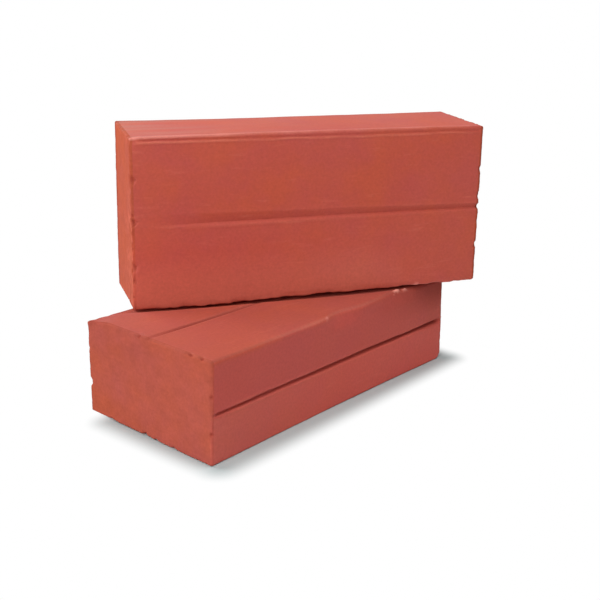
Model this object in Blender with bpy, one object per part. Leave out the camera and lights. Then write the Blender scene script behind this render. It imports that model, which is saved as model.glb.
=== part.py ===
"""Clay bars for cleaning car paint: one lies flat, the other stands on a narrow side across it.

Each bar is a single extrusion of firm clay. The die leaves a shallow V groove along the middle of
both broad faces and a thin score along one narrow side, where the bar is broken into portions. A
wire cuts the bar to length and tears small chips from the edges of its end faces.

A bar's own axes are X along its length, Y across its broad faces and Z between them.
"""
import math

import bmesh
import bpy
from mathutils import Matrix, Vector

# Section, as it leaves the die (metres)
BAR_WIDTH = 0.045
BAR_THICKNESS = 0.026
EDGE_RADIUS = 0.0006
EDGE_SEGMENTS = 3
GROOVE_WIDTH = 0.0022
GROOVE_DEPTH = 0.0007
SCORE_WIDTH = 0.0008
SCORE_DEPTH = 0.0014

# Lengths, as the wire cut them
LOWER_LENGTH = 0.0965
UPPER_LENGTH = 0.0985

# The stack: the upper bar's clearance, its turn, and its middle measured from the lower bar's middle
STACK_GAP = 0.0003
UPPER_TURN = math.radians(-31.0)
UPPER_OFFSET_X = 0.0133
UPPER_OFFSET_Y = 0.0043

# Chips along the edges of an end face: how deep they go for their half length, and the turn from one
# to the next that keeps them unlike each other
CHIP_DEPTH_RATIO = 0.55
CHIP_TURN = math.radians(137.5)

# Each chip: its place across the width and the thickness, from -1 to 1, and its half length
LOWER_NEAR_CHIPS = (
    (0.16, 1, 0.0009), (-0.68, 1, 0.0007), (-0.84, 1, 0.0010),
    (0.64, -1, 0.0009), (0.09, -1, 0.0015), (-0.16, -1, 0.0008), (-0.42, -1, 0.0010),
    (1, 0.36, 0.0010), (1, -0.38, 0.0012), (-1, 0.32, 0.0010), (-1, -0.40, 0.0011),
)
LOWER_FAR_CHIPS = (
    (0.55, 1, 0.0010), (-0.30, 1, 0.0008),
    (0.30, -1, 0.0012), (-0.62, -1, 0.0009),
    (1, 0.45, 0.0009), (1, -0.25, 0.0011), (-1, 0.55, 0.0008), (-1, -0.60, 0.0010),
)
UPPER_LEFT_CHIPS = (
    (0.51, 1, 0.0009), (0.10, 1, 0.0012), (-0.49, 1, 0.0010), (-0.67, 1, 0.0013),
    (0.40, -1, 0.0008), (-0.20, -1, 0.0011), (-0.70, -1, 0.0009),
    (1, -0.30, 0.0008), (-1, 0.35, 0.0010), (-1, -0.45, 0.0009),
)
UPPER_RIGHT_CHIPS = (
    (0.46, 1, 0.0010), (0.12, 1, 0.0012), (-0.35, 1, 0.0009), (-0.62, 1, 0.0011),
    (0.25, -1, 0.0010), (-0.50, -1, 0.0009),
    (1, 0.20, 0.0009), (-1, 0.40, 0.0011), (-1, -0.35, 0.0008),
)

# Finish: terracotta red clay, matt with a slight waxy sheen
CLAY_COLOUR = (0.44, 0.075, 0.045, 1.0)
CLAY_ROUGHNESS = 0.6

# Distance under which the extrusion's loose caps join its walls
WELD_DISTANCE = 0.000001


def clear_scene():
    for obj in list(bpy.data.objects):
        bpy.data.objects.remove(obj, do_unlink=True)


def make_collection(name):
    collection = bpy.data.collections.new(name)
    bpy.context.scene.collection.children.link(collection)
    return collection


def clay_material(name):
    material = bpy.data.materials.new(name)
    material.use_nodes = True
    shader = material.node_tree.nodes["Principled BSDF"]
    shader.inputs["Base Color"].default_value = CLAY_COLOUR
    shader.inputs["Roughness"].default_value = CLAY_ROUGHNESS
    shader.inputs["Metallic"].default_value = 0.0
    return material


def rounded_corner(side_y, side_z, start_angle):
    """A quarter arc round one long edge of the bar."""
    centre_y = side_y * (BAR_WIDTH / 2 - EDGE_RADIUS)
    centre_z = side_z * (BAR_THICKNESS / 2 - EDGE_RADIUS)
    points = []
    for step in range(EDGE_SEGMENTS + 1):
        angle = start_angle + math.pi / 2 * step / EDGE_SEGMENTS
        points.append((centre_y + EDGE_RADIUS * math.cos(angle), centre_z + EDGE_RADIUS * math.sin(angle)))
    return points


def section_outline():
    """The die's outline, anticlockwise: a groove in each broad face and a score in the -Y side."""
    half_width = BAR_WIDTH / 2
    half_thickness = BAR_THICKNESS / 2
    half_groove = GROOVE_WIDTH / 2
    half_score = SCORE_WIDTH / 2
    under_groove = [
        (-half_groove, -half_thickness), (0.0, GROOVE_DEPTH - half_thickness), (half_groove, -half_thickness),
    ]
    top_groove = [
        (half_groove, half_thickness), (0.0, half_thickness - GROOVE_DEPTH), (-half_groove, half_thickness),
    ]
    side_score = [
        (-half_width, half_score), (SCORE_DEPTH - half_width, 0.0), (-half_width, -half_score),
    ]
    outline = rounded_corner(-1, -1, math.pi) + under_groove
    outline += rounded_corner(1, -1, 1.5 * math.pi)
    outline += rounded_corner(1, 1, 0.0) + top_groove
    outline += rounded_corner(-1, 1, 0.5 * math.pi) + side_score
    return outline


def extruded_mesh(name, length):
    """The section pushed out to a length, with its middle at the origin."""
    outline = section_outline()
    curve = bpy.data.curves.new(name + "_section", "CURVE")
    curve.dimensions = "2D"
    curve.fill_mode = "BOTH"
    curve.extrude = length / 2
    spline = curve.splines.new("POLY")
    spline.points.add(len(outline) - 1)
    for point, (across, between) in zip(spline.points, outline):
        point.co = (across, between, 0.0, 1.0)
    spline.use_cyclic_u = True

    section = bpy.data.objects.new(name + "_section", curve)
    bpy.context.scene.collection.objects.link(section)
    depsgraph = bpy.context.evaluated_depsgraph_get()
    mesh = bpy.data.meshes.new_from_object(section.evaluated_get(depsgraph))
    mesh.name = name
    bpy.data.objects.remove(section, do_unlink=True)

    shape = bmesh.new()
    shape.from_mesh(mesh)
    bmesh.ops.remove_doubles(shape, verts=shape.verts, dist=WELD_DISTANCE)
    shape.to_mesh(mesh)
    shape.free()

    # The curve's X, Y and Z become the bar's Y, Z and X
    mesh.transform(Matrix(((0, 0, 1, 0), (1, 0, 0, 0), (0, 1, 0, 0), (0, 0, 0, 1))))
    return mesh


def add_chips(shape, end_x, chips):
    """Rough lumps centred on the edges of one end face, for cutting away."""
    for count, (across, between, half_length) in enumerate(chips):
        place = Vector((end_x, across * BAR_WIDTH / 2, between * BAR_THICKNESS / 2))
        depth = CHIP_DEPTH_RATIO * half_length
        along_width = abs(between) == 1
        if along_width:
            size = Vector((depth, half_length, depth))
        else:
            size = Vector((depth, depth, half_length))
        turned = Matrix.Rotation(CHIP_TURN * count, 4, "X")
        lump = Matrix.Translation(place) @ Matrix.Diagonal(size).to_4x4() @ turned
        bmesh.ops.create_icosphere(shape, subdivisions=1, radius=1.0, matrix=lump)


def chip_cutter(name, length, left_chips, right_chips, collection):
    shape = bmesh.new()
    add_chips(shape, -length / 2, left_chips)
    add_chips(shape, length / 2, right_chips)
    mesh = bpy.data.meshes.new(name)
    shape.to_mesh(mesh)
    shape.free()
    cutter = bpy.data.objects.new(name, mesh)
    cutter.hide_render = True
    cutter.display_type = "WIRE"
    collection.objects.link(cutter)
    return cutter


def clay_bar(name, length, left_chips, right_chips, bars, cutters):
    """One bar, extruded, cut to length and chipped at both ends."""
    bar = bpy.data.objects.new(name, extruded_mesh(name, length))
    bar.data.materials.append(clay_material(name + "_clay"))
    bars.objects.link(bar)
    cutter = chip_cutter(name + "_chips", length, left_chips, right_chips, cutters)
    cutter.parent = bar
    chips = bar.modifiers.new("chips", "BOOLEAN")
    chips.operation = "DIFFERENCE"
    chips.solver = "EXACT"
    chips.object = cutter
    return bar


def stack_middle():
    """The middle of the stack's outer box, seen from above and measured from the lower bar's middle."""
    cosine = abs(math.cos(UPPER_TURN))
    sine = abs(math.sin(UPPER_TURN))
    reach_x = (UPPER_LENGTH * cosine + BAR_THICKNESS * sine) / 2
    reach_y = (UPPER_LENGTH * sine + BAR_THICKNESS * cosine) / 2
    lowest_x = min(-LOWER_LENGTH / 2, UPPER_OFFSET_X - reach_x)
    highest_x = max(LOWER_LENGTH / 2, UPPER_OFFSET_X + reach_x)
    lowest_y = min(-BAR_WIDTH / 2, UPPER_OFFSET_Y - reach_y)
    highest_y = max(BAR_WIDTH / 2, UPPER_OFFSET_Y + reach_y)
    return (lowest_x + highest_x) / 2, (lowest_y + highest_y) / 2


def main():
    clear_scene()
    bars = make_collection("clay_bars")
    cutters = make_collection("chip_cutters")

    # The origin is under the middle of the stack, on the surface that it stands on
    middle_x, middle_y = stack_middle()
    stack = bpy.data.objects.new("stack", None)
    stack.location = (-middle_x, -middle_y, 0.0)
    bars.objects.link(stack)

    lower = clay_bar("lower_bar", LOWER_LENGTH, LOWER_NEAR_CHIPS, LOWER_FAR_CHIPS, bars, cutters)
    lower.parent = stack
    lower.location = (0.0, 0.0, BAR_THICKNESS / 2)

    # The upper bar stands on its scored side, and lifts straight up off the lower one
    upper = clay_bar("upper_bar", UPPER_LENGTH, UPPER_LEFT_CHIPS, UPPER_RIGHT_CHIPS, bars, cutters)
    upper.parent = stack
    upper.location = (UPPER_OFFSET_X, UPPER_OFFSET_Y, BAR_THICKNESS + STACK_GAP + BAR_WIDTH / 2)
    upper.rotation_euler = (math.pi / 2, 0.0, UPPER_TURN)


main()
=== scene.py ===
"""The looks of the clay bars: edges that the wire tore, die grooves, wire-cut ends and waxy red clay,
with light and shade painted into the clay's colour in places.

Each bar is modelled about its own middle, with X along its length, Y across its broad faces and Z
between them, as it leaves the die. Its near end is at -X and its far end at +X. It is then set down
where the frame has it.
"""
import math

import bpy
import numpy as np
from mathutils import Matrix, Vector, noise


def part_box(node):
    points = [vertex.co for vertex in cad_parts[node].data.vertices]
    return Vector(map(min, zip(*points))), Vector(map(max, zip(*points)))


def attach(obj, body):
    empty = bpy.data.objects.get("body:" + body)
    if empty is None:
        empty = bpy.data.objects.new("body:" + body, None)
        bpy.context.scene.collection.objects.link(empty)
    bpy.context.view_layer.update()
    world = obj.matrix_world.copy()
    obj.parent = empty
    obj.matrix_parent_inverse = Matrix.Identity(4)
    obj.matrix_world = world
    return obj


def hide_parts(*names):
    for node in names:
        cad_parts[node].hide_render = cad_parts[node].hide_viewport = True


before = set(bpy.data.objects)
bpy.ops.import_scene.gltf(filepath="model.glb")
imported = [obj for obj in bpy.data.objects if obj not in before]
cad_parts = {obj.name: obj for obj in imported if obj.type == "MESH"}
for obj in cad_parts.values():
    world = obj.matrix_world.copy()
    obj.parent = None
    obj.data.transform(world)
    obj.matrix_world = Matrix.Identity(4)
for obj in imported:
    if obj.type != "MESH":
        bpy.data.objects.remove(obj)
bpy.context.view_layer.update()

MM = 0.001
DIAGONAL = math.sqrt(0.5)

# Where the frame has the bars
lower_low, lower_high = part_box("lower_bar")
upper_low, upper_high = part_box("upper_bar")
UPPER_TURN = math.radians(-31.0)
LOWER_LENGTH, BAR_WIDTH, BAR_THICKNESS = lower_high - lower_low
UPPER_LENGTH = (
    (upper_high - upper_low).x - BAR_THICKNESS * abs(math.sin(UPPER_TURN))
) / math.cos(UPPER_TURN)
LOWER_PLACE = Matrix.Translation((lower_low + lower_high) / 2)
UPPER_PLACE = (
    Matrix.Translation((upper_low + upper_high) / 2)
    @ Matrix.Rotation(UPPER_TURN, 4, "Z")
    @ Matrix.Rotation(math.pi / 2, 4, "X")
)

# Faces of a bar, as axis and side: the lower bar's top and the upper bar's front, the lower bar's
# right side and the upper bar's foot, and the upper bar's top
BROAD_FACE = (2, 1)
SCORED_SIDE = (1, -1)
RIM_SIDE = (1, 1)

# How far under a face a mark still moves the clay, and how far a stain on it still shows
MARK_REACH = 4.0 * MM
THIN_SKIN = 0.4 * MM
SKIN = 0.6 * MM
THICK_SKIN = 1.0 * MM
END_SKIN = 0.2 * MM

# How the noise is stretched: the same along all axes, or along the bar alone
ALL_WAYS = (1, 1, 1)
LENGTHWAYS = (1, 0, 0)

# Loops cut into each block: steps inward from an edge, steps out from the groove and the score
EDGE_STEPS = (0.8 * MM, 1.6 * MM, 2.8 * MM, 4.4 * MM, 6.8 * MM)
GROOVE_STEPS = (0.4 * MM, 0.8 * MM, 1.6 * MM, 2.8 * MM)
SCORE_STEPS = (0.4 * MM, 0.8 * MM, 1.6 * MM)
LENGTH_STEP = 2.6 * MM
WIDTH_STEP = 2.15 * MM
THICKNESS_STEP = 1.75 * MM
FINE_LEVELS = 2

# Edges left by the die and by the wire, near end and far end, and how far the cut clay laps over them
LOWER_END_RADII = (0.8 * MM, 0.45 * MM)
UPPER_END_RADII = (0.5 * MM, 1.0 * MM)
LONG_EDGE_RADIUS = 0.45 * MM
RUBBED_EDGE_NEAR_RADIUS = 0.9 * MM
RUBBED_EDGE_FAR_RADIUS = 1.4 * MM
CUT_WRAP = 0.9 * MM

# Painted highlight along the lower bar's top edge
EDGE_HIGHLIGHT_PLACE = 35 * MM
EDGE_HIGHLIGHT_HALF_LENGTH = 21 * MM
EDGE_HIGHLIGHT_ON_TOP = 2.6 * MM
EDGE_HIGHLIGHT_DOWN_SIDE = 1.0 * MM
EDGE_HIGHLIGHT_ELSEWHERE = 0.05
EDGE_HIGHLIGHT_EVEN = 0.75
EDGE_HIGHLIGHT_RIPPLE = (0.6, 7 * MM, 33)

# Stretches of that edge pushed in: place along the bar, half length and depth
PRESSED_EDGE = ((48.5 * MM, 10 * MM, 1.2 * MM), (74 * MM, 14 * MM, 1.1 * MM))
PRESSED_EDGE_DOWN = 5 * MM
PRESSED_EDGE_IN = 7 * MM

# Ragged wear along the upper bar's lower front edge
WEAR_DEPTH = 0.26 * MM
WEAR_REACH = 1.8 * MM
WEAR_EVEN = 0.7
WEAR_RAGGED = 1.3
WEAR_MOST = 1.5
WEAR_RIPPLE = (1, 5 * MM, 41)
WEAR_FINE_RIPPLE = (0.8, 1.7 * MM, 42)

# Die groove in the broad faces: a slope on one side, a crisp wall on the other, and raised lips, with
# painted shade in the groove and painted highlights on the lips
LOWER_GROOVE = {
    "depth": 1.2 * MM,
    "near_slope": 1.0 * MM,
    "far_slope": 1.0 * MM,
    "near_drop": 0.8 * MM,
    "far_drop": 0.8 * MM,
    "painted_shade": 1.0,
}
UPPER_GROOVE = {
    "depth": 0.7 * MM,
    "near_slope": 2.8 * MM,
    "far_slope": 1.2 * MM,
    "near_drop": 0.3 * MM,
    "far_drop": 0.9 * MM,
    "painted_shade": 0.27,
}
GROOVE_EVEN = 0.9
GROOVE_RIPPLE = (0.25, 22 * MM, 3)
GROOVE_WALL = 0.6 * MM
GROOVE_LIP = 0.12 * MM
GROOVE_LIP_WIDTH = 0.8 * MM
GROOVE_LIP_HIGHLIGHT = 0.45
WALL_LIP_DIES_AWAY = 0.8
SLOPE_LIP = 0.4

# Where the grooves are smeared shut at the near end, or pressed shut before the upper bar
LOWER_SMEAR = 17 * MM
LOWER_SMEARED = 0.8
UPPER_SMEAR = 32 * MM
PRESSED_SHUT = 8 * MM
SMEAR_PLACE = 0.3 * MM
SMEAR_WIDTH = 1.6 * MM
SMEAR_PALE = 0.2

# Score in the narrow side, lower, deeper and darker with painted shade at the far end, with lips of
# dragged clay that carry a painted highlight
SCORE_NEAR_DEPTH = 0.85 * MM
SCORE_FAR_DEPTH = 1.2 * MM
SCORE_NEAR_HALF_WIDTH = 0.66 * MM
SCORE_FAR_HALF_WIDTH = 0.80 * MM
SCORE_NEAR_DROP = 0.52 * MM
SCORE_FAR_DROP = 0.95 * MM
SCORE_NEAR_SHADE = 0.2
SCORE_FAR_SHADE = 0.9
SCORE_STEEPNESS = 1.3
SCORE_RIPPLE = (0.3, 6 * MM, 24)
SCORE_LIP = 0.07 * MM
SCORE_LIP_PLACE = 0.9 * MM
SCORE_LIP_WIDTH = 0.6 * MM
SCORE_LIP_EVEN = 0.8
SCORE_LIP_RIPPLE = (1, 7 * MM, 23)
SCORE_LIP_HIGHLIGHT = 0.35
SCORE_SMEAR = 3.0 * MM
SCORE_SMEARED = 0.97

# Rim along one long edge, a valley under it, and a bead under that, with painted highlights on the rim
# and the bead and painted shade in the valley
RIM_HEIGHT = 0.18 * MM
RIM_PLACE = 0.6 * MM
RIM_WIDTH = 1.2 * MM
RIM_HIGHLIGHT = 1.1
RIM_DIES_AWAY = 0.2
RIM_DOWN_NEAR = 0.8 * MM
RIM_DOWN_FAR = 1.15 * MM
RIM_DOWN_GROWS = 45 * MM
RIM_RIPPLE = (0.8, 14 * MM, 5)
RIM_FINE_RIPPLE = (0.7, 4 * MM, 6)
RIM_EVEN = 0.95
RIM_LEAST, RIM_MOST = 0.2, 1.5
VALLEY_PLACE = 1.15 * MM
VALLEY_DEPTH = 0.12 * MM
VALLEY_EVEN = 0.9
VALLEY_RIPPLE = 0.5
VALLEY_LEAST, VALLEY_MOST = 0.4, 1.2
VALLEY_SHADE = 0.36
BEAD_PLACE = 1.75 * MM
BEAD_HEIGHT = 0.13 * MM
BEAD_RIPPLE = (0.3 * MM, 8 * MM, 8)
BEAD_HIGHLIGHT = 0.95
RIM_LINE_WIDTH = 0.5 * MM
RIM_LINES_HIGHER = 0.35 * MM
RIM_LINES_LEVEL = 45 * MM
RIM_START = 4 * MM

# Dent in the lower bar's top along the upper bar's front edge, deeper along one stretch, less deep
# along another, with a pale lip, and painted shade along the contact with the upper bar
DENT_DEPTH = 1.3 * MM
DENT_DOWN = 12 * MM
DENT_MORE = 0.5 * MM
DENT_MORE_PLACE = 18 * MM
DENT_MORE_HALF_LENGTH = 30 * MM
DENT_LESS = 0.5 * MM
DENT_LESS_PLACE = 82 * MM
DENT_LESS_HALF_LENGTH = 26 * MM
DENT_IN_FRONT = 3.4 * MM
DENT_UNDER = 25 * MM
DENT_LIP = 0.25
DENT_LIP_PLACE = 3.4 * MM
DENT_LIP_WIDTH = 1.4 * MM
DENT_SHADE = 0.38
DENT_SHADE_PLACE = 60 * MM
DENT_SHADE_HALF_LENGTH = 34 * MM
DENT_SHADE_REACH = 26 * MM

# How far the upper bar's front edge sags into that hollow
SAG = 0.4 * MM
SAG_MORE = 0.5 * MM
SAG_MORE_PLACE = 21 * MM
SAG_MORE_HALF_LENGTH = 20 * MM
SAG_UP = 7 * MM
SAG_BACK = 10 * MM

# How far the clay of either bar still stands up between the two
SETTLED = 0.1 * MM
SETTLED_MARGIN = 1.0 * MM

# Slow swelling of the faces, and finer unevenness, with a seed for the first of the three axes
SWELL = (0.11 * MM, 26 * MM, 7)
UNEVEN = (0.05 * MM, 6 * MM, 11)

# Corners pulled out of square when the bars were cut and handled: which corner, and how far it went
LOWER_PULLS = (
    ((-1, 1, 1), Vector((-0.1, 0.1, 0.95)) * MM),
    ((-1, -1, 1), Vector((0, 0, 0.4)) * MM),
    ((-1, -1, -1), Vector((-1.0, -0.5, 0)) * MM),
    ((-1, 1, -1), Vector((0.35, 0.7, 0.2)) * MM),
    ((1, -1, -1), Vector((-0.9, -1.1, 0)) * MM),
)
UPPER_PULLS = (
    ((-1, 1, -1), Vector((0.5, 0.6, 0)) * MM),
    ((-1, -1, -1), Vector((-0.1, -0.7, 0)) * MM),
    ((-1, -1, 1), Vector((-0.3, 0.1, 0)) * MM),
    ((1, 1, 1), Vector((0.35, -0.45, 0)) * MM),
    ((1, -1, 1), Vector((0.55, 0.1, 0)) * MM),
)
PULL_SHARPNESS = 3

# Corners knocked round: which corner, how far it went, and how far the knock reaches
LOWER_KNOCKS = (
    ((-1, 1, 1), Vector((0.2, 0, -1.4)) * MM, 9 * MM),
    ((1, -1, -1), Vector((-0.3, 0.3, 0.3)) * MM, 2.2 * MM),
)
UPPER_KNOCKS = (((-1, 1, 1), Vector((0.3, -0.35, -0.35)) * MM, 3 * MM),)

# Chips along the ends: place across the width and the thickness from -1 to 1, and half length
LOWER_NEAR_CHIPS = (
    (0.12, 1, 1.1 * MM), (-0.67, 1, 0.9 * MM), (-0.84, 1, 1.0 * MM),
    (0.64, -1, 0.7 * MM), (0.05, -1, 1.2 * MM), (-0.13, -1, 0.8 * MM), (-0.42, -1, 0.8 * MM),
    (1, 0.36, 0.7 * MM), (1, -0.36, 1.2 * MM), (-1, 0.32, 0.8 * MM), (-1, -0.39, 0.8 * MM),
)
LOWER_FAR_CHIPS = (
    (0.55, 1, 1.0 * MM), (-0.30, 1, 0.8 * MM), (0.30, -1, 1.2 * MM), (-0.62, -1, 0.9 * MM),
    (1, 0.45, 0.9 * MM), (1, -0.25, 1.1 * MM), (-1, 0.55, 0.5 * MM), (-1, -0.60, 0.5 * MM),
)
UPPER_NEAR_CHIPS = (
    (0.53, 1, 1.5 * MM), (0.12, 1, 0.9 * MM), (0.04, 1, 1.5 * MM), (-0.27, 1, 0.6 * MM),
    (-0.50, 1, 1.5 * MM), (-0.66, 1, 1.0 * MM), (-0.84, 1, 0.5 * MM),
    (0.40, -1, 0.6 * MM), (-0.20, -1, 0.6 * MM), (-0.70, -1, 0.6 * MM),
    (1, -0.30, 0.7 * MM), (-1, 0.35, 0.8 * MM), (-1, -0.45, 0.8 * MM),
)
UPPER_FAR_CHIPS = (
    (0.46, 1, 0.9 * MM), (0.12, 1, 1.1 * MM), (-0.03, 1, 0.9 * MM), (-0.54, 1, 1.0 * MM),
    (0.25, -1, 1.0 * MM), (-0.50, -1, 0.9 * MM),
    (1, 0.20, 0.9 * MM), (-1, 0.40, 1.1 * MM), (-1, -0.35, 0.8 * MM),
)
CHIP_DEPTH_RATIO = 0.62
CHIP_BREADTH_RATIO = 1.6
CHIP_REACH = 1.15
CHIP_RIPPLE = (0.6, 0.7 * MM, 13)

# Ragged losses along the edges of the end faces
RAGGED_DEPTH = 0.20 * MM
RAGGED_REACH = 0.9 * MM
RAGGED_WHOLE = 0.05
RAGGED_DARK = 0.7
RAGGED_RIPPLE = (1, 1.6 * MM, 17)
RAGGED_FINE_RIPPLE = (0.5, 1.6 * MM / 2.3, 19)

# Burrs along those edges: how much of them each bar has, and how dark the painted shade behind them is
LOWER_BURRS, LOWER_BURRS_DARK = 0.05, 0.4
UPPER_BURRS, UPPER_BURRS_DARK = 0.8, 0.7
BURR_HEIGHT = 0.16 * MM
BURR_REACH = 0.7 * MM
BURR_BARE = 0.3
BURR_RIPPLE = (2.4, 1.1 * MM, 21)
BURR_PALE = 0.7
BURR_LINE_PALE = 0.6
BURR_LINE_PLACE = 0.8 * MM
BURR_LINE_WIDTH = 1.0 * MM
BURR_LINE_EVEN = 0.6
BURR_LINE_RIPPLE = (0.9, 6 * MM, 31)
BURR_DARK_REACH = 1.2 * MM
BURR_DARK_OFF_END = 0.8
BURR_DARK_EVEN = 0.35
BURR_DARK_RIPPLE = (1.5, 3.4 * MM, 37)
BURR_DARK_HIGH_UP = 0.1
BURR_DARK_LOW_DOWN = 5 * MM

# Pale drags on the upper bar's near end
DRAG_EVEN = 0.3
DRAG_RIPPLE = (1.3, 2.6 * MM, 35)
DRAG_FINE_RIPPLE = (1.1, 1.0 * MM, 36)
DRAG_FROM_FACE = 18 * MM
DRAG_HIGH_UP = 0.4
DRAG_LOW_DOWN = 8 * MM

# Crumbs along the edge where the bars meet: place along the bar, half length, height and paleness
LOWER_CRUMBS = (
    (-5.4 * MM, 0.8 * MM, 0.20 * MM, 0),
    (26.4 * MM, 1.7 * MM, 0.60 * MM, 1.0),
    (29.8 * MM, 1.3 * MM, 0.80 * MM, 0.35),
)
UPPER_CRUMBS = ((31.0 * MM, 1.3 * MM, 0.25 * MM, 0),)
CRUMB_WIDTH = 1.0 * MM
CRUMB_REACH = 1.3
CRUMB_CLEAN = 1.2
CRUMB_RIPPLE = (0.6, 0.9 * MM, 29)
CRUMB_WAY = np.array((0, -0.5, 0.85))

# Painted shade along edges, and a painted shadow in one corner: the faces that meet there, how far it
# reaches and how dark it is
LOWER_EDGE_SHADE = (
    (np.array((-1, 1, 0)), 1.1 * MM, 0.65),
    # painted shade that dulls the light on the rounded near top edge
    (np.array((-1, 0, 1)), 1.2 * MM, 0.24),
    (np.array((-1, 0, 1)), 30 * MM, 0.20),
    (np.array((0, 1, 1)), 1.0 * MM, 0.65),
    (np.array((0, -1, -1)), 0.8 * MM, 0.5),
    (np.array((1, -1, 0)), 1.0 * MM, 0.6),
    # painted shadow of the upper bar's overhang on the lower bar's far corner
    (np.array((1, -1, 1)), np.array((48, 30, 13.5)) * MM, 1.0),
)
UPPER_EDGE_SHADE = (
    (np.array((-1, 0, -1)), 4.5 * MM, 0.8),
    (np.array((1, 0, 1)), 1.3 * MM, 0.6),
    (np.array((0, 1, -1)), 3.0 * MM, 0.6),
)

# Dust on the lower bar's top, and painted shade on it: a painted shadow of the upper bar towards one
# corner, and darker towards the near end
LOWER_TOP_DUST = 0.22
TOP_CORNER_SHADE = 0.7
TOP_CORNER_REACH = 22 * MM
TOP_NEAR_SHADE = 0.47
TOP_NEAR_REACH = 27 * MM

# Streaks along the upper bar's top, partly dust and partly a painted sheen, and painted shade at its far
# end
TOP_DUST_NEAR = 0.55
TOP_DUST_FAR = 0.1
TOP_DUST_REACH = 50 * MM
TOP_DUST_EVEN = 0.15
TOP_DUST_COVER = 0.6
TOP_STREAKS = (1, 2.6 * MM, 43)
TOP_STREAKS_DRAWN_OUT = (0.12, 1, 1)
TOP_PATCHES = (0.7, 6 * MM, 44)
TOP_PATCHES_DRAWN_OUT = (0.35, 1, 1)
TOP_FAR_SHADE = 0.2

# The lower bar's scored side: redder under the score with painted light, and dusty there, crimson over
# it
RED_SIDE_NEAR = 0.4
RED_SIDE_FAR = 0.65
RED_SIDE_BLEND = 2 * MM
SIDE_DUST = 0.3
SIDE_DUST_REACH = 50 * MM
CRIMSON_SIDE = 0.8
CRIMSON_DIES_AWAY = 3
CRIMSON_FROM_END = 1.5 * MM
CRIMSON_FROM_TOP = 2 * MM

# The upper bar's front: redder and paler towards its foot, as painted light that lifts the shade low on
# the front
RED_FOOT = 0.6
RED_FOOT_UP = 30 * MM
RED_FOOT_ALONG = 95 * MM
PALE_FOOT = 0.95
PALE_FOOT_UP = 18 * MM
PALE_FOOT_WHOLE = 58 * MM
PALE_FOOT_FADE = 26 * MM
PALE_FOOT_EDGE = 0.3
PALE_FOOT_EDGE_UP = 0.9 * MM

# Clay colours: the two that mix on the die-smoothed faces and on each bar's cut ends, and pale bloom.
# The upper bar's cut ends are painted lighter and more orange than the lower bar's, as painted light.
SMOOTH_CLAY = ((0.452, 0.070, 0.0345, 1), (0.422, 0.063, 0.046, 1))
LOWER_CUT_CLAY = ((0.405, 0.0835, 0.0445, 1), (0.379, 0.081, 0.0595, 1))
UPPER_LIT_CUT_CLAY = ((0.433, 0.083, 0.0355, 1), (0.404, 0.080, 0.0465, 1))
BLOOM = (0.50, 0.105, 0.075, 1)
# Pale clay of rubs and scuffs, also the colour of painted highlights
PALE_RUB_AND_HIGHLIGHT = (0.58, 0.135, 0.085, 1)

# Marks kept at each point: where one starts to show, where it shows whole, how much, and its colour.
# Several of them are painted light and shade.
MARKS = {
    # partly dust, partly a painted sheen
    "dust_and_sheen": (0, 1, 1, (0.40, 0.140, 0.105, 1)),
    # painted light: brighter red where the clay lies in shade
    "painted_light": (0, 1, 1, (0.56, 0.081, 0.063, 1)),
    "crimson": (0, 1, 1, (0.450, 0.065, 0.053, 1)),
    # partly pale rubs and smears, partly painted highlights
    "pale_rub_and_highlight": (0.1, 1, 0.7, PALE_RUB_AND_HIGHLIGHT),
    # partly pale burrs and crumbs, partly painted highlights
    "burr_and_highlight": (0.1, 1, 0.8, (0.67, 0.207, 0.165, 1)),
    "crumb": (0, 1, 1, (0.92, 0.37, 0.28, 1)),
    # partly torn clay, partly painted shade
    "torn_and_shade": (0.1, 0.9, 0.75, (0.25, 0.035, 0.024, 1)),
    # painted shade in grooves, the score and the rim's valley
    "shade_in_hollows": (0.1, 1, 0.85, (0.20, 0.022, 0.014, 1)),
}

# Noise in the clay: waves a metre, detail, and how far it is drawn out along the bar's axes
NOISE_ROUGHNESS = 0.55
MOTTLE = (75, 4)
BLOOM_CLOUDS = (28, 3)
GRAIN = (1500, 3)
CUT_PITS = (320, 2)
CUT_LINES = (1, 3, (8 * MM, 26 * MM, 0.7 * MM))
DIE_LINES = (1, 4, (60 * MM, 1.1 * MM, 1.1 * MM))
SCUFFS = (1, 3, (7 * MM, 1.4 * MM, 1.4 * MM))

# What a stretch of that noise, or of a mark, is turned into: from, to, and the values there
MOTTLE_BLEND = (0.35, 0.65, 0, 1)
BLOOM_BLEND = (0.40, 0.75, 0, 0.25)
SCUFF_BLEND = (0.60, 0.80, 0, 0.35)
GRAIN_VALUE = (0.3, 0.7, 0.93, 1.07)
CUT_LINE_VALUE = (0.35, 0.65, 0.98, 1.02)
CUT_DULLNESS = (0.3, 0.7, 0.80, 0.95)
SMOOTH_DULLNESS = (0.3, 0.7, 0.54, 0.68)
TORN_DULLNESS = (0, 1, 0, 0.2)
HOLLOW_DULLNESS = (0, 1, 0, 0.35)

# Gloss and fine relief
CLAY_IOR = 1.4
CUT_GLOSS = 0.08
SMOOTH_GLOSS = 0.42
GRAIN_RELIEF = 0.35
RELIEF_STRENGTH = 0.5
RELIEF_DEPTH = 0.06 * MM

# Camera, fitted to the corners of both bars in the photograph
CAMERA_AZIMUTH = math.radians(-49.7)
CAMERA_ELEVATION = math.radians(18.36)
CAMERA_ROLL = math.radians(0.83)
CAMERA_DISTANCE = 270.9 * MM
CAMERA_AIM = Vector((-15.42, -19.38, 30.0)) * MM
CAMERA_CLIP_START = 1 * MM
FOCAL_PIXELS = 1041.0
IMAGE_PIXELS = 600
SENSOR_WIDTH = 36.0

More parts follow.
